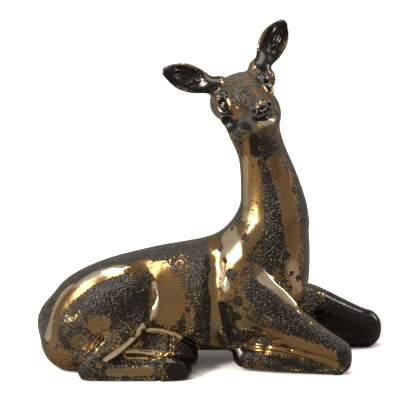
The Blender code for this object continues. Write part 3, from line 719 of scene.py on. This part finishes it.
def patinatedBronze(name, grainSize, sparkleColour):
    # cast bronze, polished in the hollows, under a dark grainy crust with painted sparkle on its grain peaks;
    # painted highlights pale the bare metal, and the black glaze also paints shade
    made, tree, shader = newMaterial(name)
    where = (addNode(tree, "ShaderNodeTexCoord", {}, {}), "Object")
    crustCoat = addNode(tree, "ShaderNodeAttribute", {"attribute_name": "crust"}, {})
    glazeAndShadeCoat = addNode(tree, "ShaderNodeAttribute", {"attribute_name": "glaze"}, {})
    highlightCoat = (addNode(tree, "ShaderNodeAttribute", {"attribute_name": "pale"}, {}), "Fac")

    def noise(size, detail, roughness=0.5):
        settings = {"Vector": where, "Scale": 1 / (size * mm), "Detail": detail, "Roughness": roughness}
        return addNode(tree, "ShaderNodeTexNoise", {}, settings)

    def calculate(operation, a, b, c=0.0):
        return addNode(tree, "ShaderNodeMath", {"operation": operation}, {0: a, 1: b, 2: c})

    def remap(value, low, high, toLow=0.0, toHigh=1.0):
        ends = {"Value": value, "From Min": low, "From Max": high, "To Min": toLow, "To Max": toHigh}
        return (addNode(tree, "ShaderNodeMapRange", {}, ends), 0)

    def mix(share, a, b):
        return (addNode(tree, "ShaderNodeMix", {"data_type": "RGBA"}, {0: share, 6: a, 7: b}), 2)

    patch = noise(patina["patch"], 5.0, 0.65)
    grain = noise(grainSize, 1.0)
    drift = noise(patina["drift"], 2.0)
    ragged = calculate("MULTIPLY_ADD", (patch, 0), 1.5, (crustCoat, "Fac"))
    ragged = calculate("MULTIPLY_ADD", (grain, 0), 1.7, (ragged, 0))
    coat = remap((ragged, 0), 2.04, 2.14)
    ragged = calculate("MULTIPLY_ADD", (patch, 0), 0.8, (glazeAndShadeCoat, "Fac"))
    ragged = calculate("MULTIPLY_ADD", (grain, 0), 0.9, (ragged, 0))
    glaze = remap((ragged, 0), 1.3, 1.45)
    bare = mix(remap((drift, 0), 0.48, 0.66), linear(patina["bare"]), linear(patina["warm"]))
    bare = mix(remap((drift, 0), 0.44, 0.32), bare, linear(patina["dull"]))
    # painted highlights: the bare metal turns pale cream where the lamps mirror in it
    bare = mix(highlightCoat, bare, linear(patina["pale"]))
    # painted sparkle: the crust's grain peaks take a lighter colour for the lamps glinting in the grain
    crustWithSparkle = mix(remap((grain, 0), 0.53, 0.7), linear(patina["crust"]), linear(sparkleColour))
    colour = mix(glaze, mix(coat, bare, crustWithSparkle), linear(patina["glaze"]))
    tree.links.new(colour[0].outputs[2], shader.inputs["Base Color"])
    dark = calculate("MAXIMUM", coat, glaze)
    metal = remap((dark, 0), 0, 1, 1.0, 0.0)
    rough = remap(coat, 0, 1, patina["bareRoughness"], patina["crustRoughness"])
    smooth = remap(glaze, 0, 1, 1.0, 0.45)
    tree.links.new(calculate("MULTIPLY", rough, smooth).outputs[0], shader.inputs["Roughness"])
    tree.links.new(metal[0].outputs[0], shader.inputs["Metallic"])
    grainy = calculate("MULTIPLY", coat, remap(glaze, 0, 1, 1.0, 0.08))
    height = calculate("MULTIPLY", (grain, 0), (grainy, 0))
    height = calculate("MULTIPLY_ADD", (patch, 0), 0.05, (height, 0))
    relief = {"Strength": 1.0, "Distance": grainSize * mm, "Height": (height, 0)}
    bump = addNode(tree, "ShaderNodeBump", {}, relief)
    tree.links.new(bump.outputs[0], shader.inputs["Normal"])
    tree.links.new(bump.outputs[0], shader.inputs["Coat Normal"])
    shader.inputs["Specular IOR Level"].default_value = 0.18  # the coats are duller than glass
    shader.inputs["Specular Tint"].default_value = linear("#D8B98A")
    shader.inputs["Coat Weight"].default_value = 0.7  # wax over the metal, which pales its lights
    shader.inputs["Coat Roughness"].default_value = 0.1
    shader.inputs["Coat IOR"].default_value = 1.38
    return made


def plainFinish(name, colour, metallic, roughness, grainSize, depth):
    # an even surface: fine marks in its gloss and a faint unevenness
    made, tree, shader = newMaterial(name)
    where = (addNode(tree, "ShaderNodeTexCoord", {}, {}), "Object")
    pattern = {"Vector": where, "Scale": 1 / (grainSize * mm), "Detail": 3.0}
    marks = addNode(tree, "ShaderNodeTexNoise", {}, pattern)
    ends = {"Value": (marks, 0), "To Min": roughness * 0.7, "To Max": roughness * 1.3}
    gloss = addNode(tree, "ShaderNodeMapRange", {}, ends)
    settings = {0: (marks, 0), 6: linear(colour[0]), 7: linear(colour[1])}
    tint = addNode(tree, "ShaderNodeMix", {"data_type": "RGBA"}, settings)
    relief = {"Strength": 0.6, "Distance": depth * mm, "Height": (marks, 0)}
    bump = addNode(tree, "ShaderNodeBump", {}, relief)
    tree.links.new(tint.outputs[2], shader.inputs["Base Color"])
    tree.links.new(gloss.outputs[0], shader.inputs["Roughness"])
    tree.links.new(bump.outputs[0], shader.inputs["Normal"])
    shader.inputs["Metallic"].default_value = metallic
    return made


finishes = {  # slot: finish
    "patinated_bronze": patinatedBronze("patinatedBronze", 1.25, "#30261A"),
    "raw_bronze": plainFinish("sandCastBronze", ("#7A5A30", "#94703E"), 1.0, 0.5, 0.5, 0.1),
    "eyes": plainFinish("glossyBlackInlay", ("#0A0908", "#17130F"), 0.0, 0.08, 1.5, 0.01),
    "screws": plainFinish("turnedSteel", ("#84868A", "#A4A6AA"), 1.0, 0.3, 0.3, 0.02),
    "felt": plainFinish("woolFelt", ("#122B1C", "#24442F"), 0.0, 0.95, 0.3, 0.3),
}
# the head's copy has a finer grain, and lighter grain peaks that paint the key lamp's light on the face
litFaceFinish = patinatedBronze("fineGrainedPatinatedBronze", 1.0, "#5F5646")
print("finishes ready")

# The castings: the wax is parted where the CAD's castings meet


def cutBy(obj, other, operation):
    made = obj.modifiers.new("part", "BOOLEAN")
    made.object = other
    made.operation = operation
    made.solver = "MANIFOLD"
    return settled(obj)


def copyOf(obj, name):
    made = objectOf(obj.data.copy(), name)
    made.data.name = name
    return made


def block(name, low, high):
    bm = bmesh.new()
    size = Vector(high) - Vector(low)
    middle = (Vector(high) + Vector(low)) / 2
    bmesh.ops.create_cube(bm, size=1.0, matrix=Matrix.Translation(middle) @ Matrix.Diagonal((*size, 1)))
    mesh = bpy.data.meshes.new(name)
    bm.to_mesh(mesh)
    return objectOf(mesh)


def region(name, shapes, size):
    # a soft blob that a limb or an ear is parted with
    made = fused(name, size, *shapes)
    soft = Clay(made)
    soft.relax(8)
    soft.store()
    return made


parting = {"waist": -34.0, "neck": 118.0, "head": 166.0, "seam": 2.4, "ground": 0.5, "far": 300}
seam, far = parting["seam"], parting["far"]  # far is past the whole wax
limbs = {
    "rightForeleg": rightForeleg(seam), "leftForeleg": leftForeleg(seam),
    "rightHindLeg": rightHindLeg(seam), "leftHindFoot": leftHindFoot(seam),
}
limbs = {name: region(name + "Region", shapes, voxel["limb"]) for name, shapes in limbs.items()}
ground = block("ground", (-far, -far, -50), (far, far, parting["ground"]))
cutBy(body, ground, "DIFFERENCE")
pieces = {}
for name, shape in limbs.items():
    pieces[name] = cutBy(copyOf(body, name), shape, "INTERSECT")
    cutBy(body, shape, "DIFFERENCE")
blocks = {
    "rearBody": (body, (-far, -far, -50), (parting["waist"], far, far)),
    "frontBody": (body, (parting["waist"], -far, -50), (far, far, parting["neck"])),
    "neck": (body, (-far, -far, parting["neck"]), (far, far, parting["head"])),
    "head": (head, (-far, -far, parting["head"]), (far, far, 400)),
}
for name, (wax, low, high) in blocks.items():
    cutter = block(name + "Block", low, high)
    pieces[name] = cutBy(copyOf(wax, name), cutter, "INTERSECT")
    bpy.data.objects.remove(cutter)
for side, name in ((-1, "rightEar"), (1, "leftEar")):
    grown = loft(ears[side], up=(0, -1, 0), place=headPlace, grow=seam)
    shape = region(name + "Region", [grown], voxel["ear"])
    pieces[name] = cutBy(copyOf(pieces["head"], name), shape, "INTERSECT")
    cutBy(pieces["head"], shape, "DIFFERENCE")
    bpy.data.objects.remove(shape)
for helper in (*limbs.values(), ground, body, head):
    bpy.data.objects.remove(helper)
print("castings parted")


def eyePiece(name, side):
    # a polished ball with a cut ring around its pupil
    bm = bmesh.new()
    radius = eyeball["radius"]
    bmesh.ops.create_uvsphere(bm, u_segments=64, v_segments=48, radius=radius)
    for vert in bm.verts:
        off = math.hypot(vert.co.x, vert.co.y)
        if vert.co.z > 0:
            for share, width, depth in eyeball["cuts"]:
                vert.co *= 1 - depth * math.exp(-(((off - radius * share) / width) ** 2))
    outward = Vector((side * eyeball["outward"][0], *eyeball["outward"][1:]))
    place = Matrix.Translation((side * eyeball["at"][0], *eyeball["at"][1:]))
    matrix = facePlace @ place @ outward.to_track_quat("Z", "Y").to_matrix().to_4x4()
    bmesh.ops.transform(bm, matrix=matrix, verts=bm.verts)
    mesh = bpy.data.meshes.new(name)
    bm.to_mesh(mesh)
    return objectOf(mesh)


pieces["rightEye"] = eyePiece("rightEye", -1)
pieces["leftEye"] = eyePiece("leftEye", 1)

standsFor = {  # piece: CAD nodes; pins and plugs are chased flush, so the skin covers them
    "rearBody": ("rear_body", "rump_plug", "waist_pin_rear_body_left", "waist_pin_rear_body_right"),
    "frontBody": (
        "front_body", "left_flank_plug", "chest_plug", "withers_plug", "waist_pin_front_body_left",
        "waist_pin_front_body_right", "throat_pin_front_body_left", "throat_pin_front_body_right",
    ),
    "neck": (
        "neck", "throat_pin_neck_left", "throat_pin_neck_right", "nape_pin_neck_left", "nape_pin_neck_right",
    ),
    "head": ("head", "nape_pin_head_left", "nape_pin_head_right"),
    "rightEar": ("right_ear",),
    "leftEar": ("left_ear",),
    "rightForeleg": ("right_foreleg",),
    "leftForeleg": ("left_foreleg",),
    "rightHindLeg": ("right_hind_leg",),
    "leftHindFoot": ("left_hind_foot",),
    "rightEye": ("right_eye",),
    "leftEye": ("left_eye",),
}


def mendCoats(obj, clay, tree):
    # points that the parting added take their coats from the nearest point of the wax
    points = np.zeros(len(obj.data.vertices) * 3)
    obj.data.vertices.foreach_get("co", points)
    nearest = np.array([tree.find(p)[1] for p in points.reshape(-1, 3).tolist()])
    for coat, values in clay.paint.items():
        if coat in obj.data.attributes:
            obj.data.attributes.remove(obj.data.attributes[coat])
        made = obj.data.attributes.new(coat, "FLOAT", "POINT")
        made.data.foreach_set("value", values[nearest].astype(np.float32))


headPieces = ("head", "rightEar", "leftEar")
for clay, names in ((headClay, headPieces), (bodyClay, (*limbs, "rearBody", "frontBody", "neck"))):
    tree = KDTree(len(clay.points))
    for i, point in enumerate(clay.points.tolist()):
        tree.insert(point, i)
    tree.balance()
    for name in names:
        mendCoats(pieces[name], clay, tree)
print("coats mended")

for name, obj in pieces.items():
    slot = "eyes" if "Eye" in name else "patinated_bronze"
    obj.name = name
    obj.data.transform(Matrix.Scale(mm, 4) @ Matrix.Translation(-drawnAt))
    obj.data.shade_smooth()
    obj.data.set_sharp_from_angle(angle=math.radians(50))
    obj.data.materials.clear()
    obj.data.materials.append(litFaceFinish if name in headPieces else finishes[slot])
    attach(obj, "root")
    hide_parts(*standsFor[name])

carried = {
    "raw_bronze": ("waist_sleeve", "neck_sleeve", "head_sleeve", "belly_cover"),
    "screws": ("cover_screw_front", "cover_screw_rear"),
    "felt": ("rump_pad", "hock_pad", "right_knee_pad", "left_knee_pad"),
}
for slot, names in carried.items():
    for name in names:
        node = bpy.data.objects[name]
        for materialSlot in node.material_slots:
            materialSlot.material = finishes[slot]
print("pieces finished")

# Floor

floorMesh = bpy.data.meshes.new("floor")
bm = bmesh.new()
bmesh.ops.create_grid(bm, x_segments=1, y_segments=1, size=6)
bm.to_mesh(floorMesh)
floor = objectOf(floorMesh)
paper, tree, shader = newMaterial("whitePaper")  # matt card, with no visible grain at this distance
sight = (addNode(tree, "ShaderNodeLightPath", {}, {}), 0)  # the metal mirrors a darker card than is seen
card = {0: sight, 6: linear("#77726B"), 7: linear("#F4F0EB")}
card = addNode(tree, "ShaderNodeMix", {"data_type": "RGBA"}, card)
tree.links.new(card.outputs[2], shader.inputs["Base Color"])
shader.inputs["Roughness"].default_value = 0.8
floorMesh.materials.append(paper)
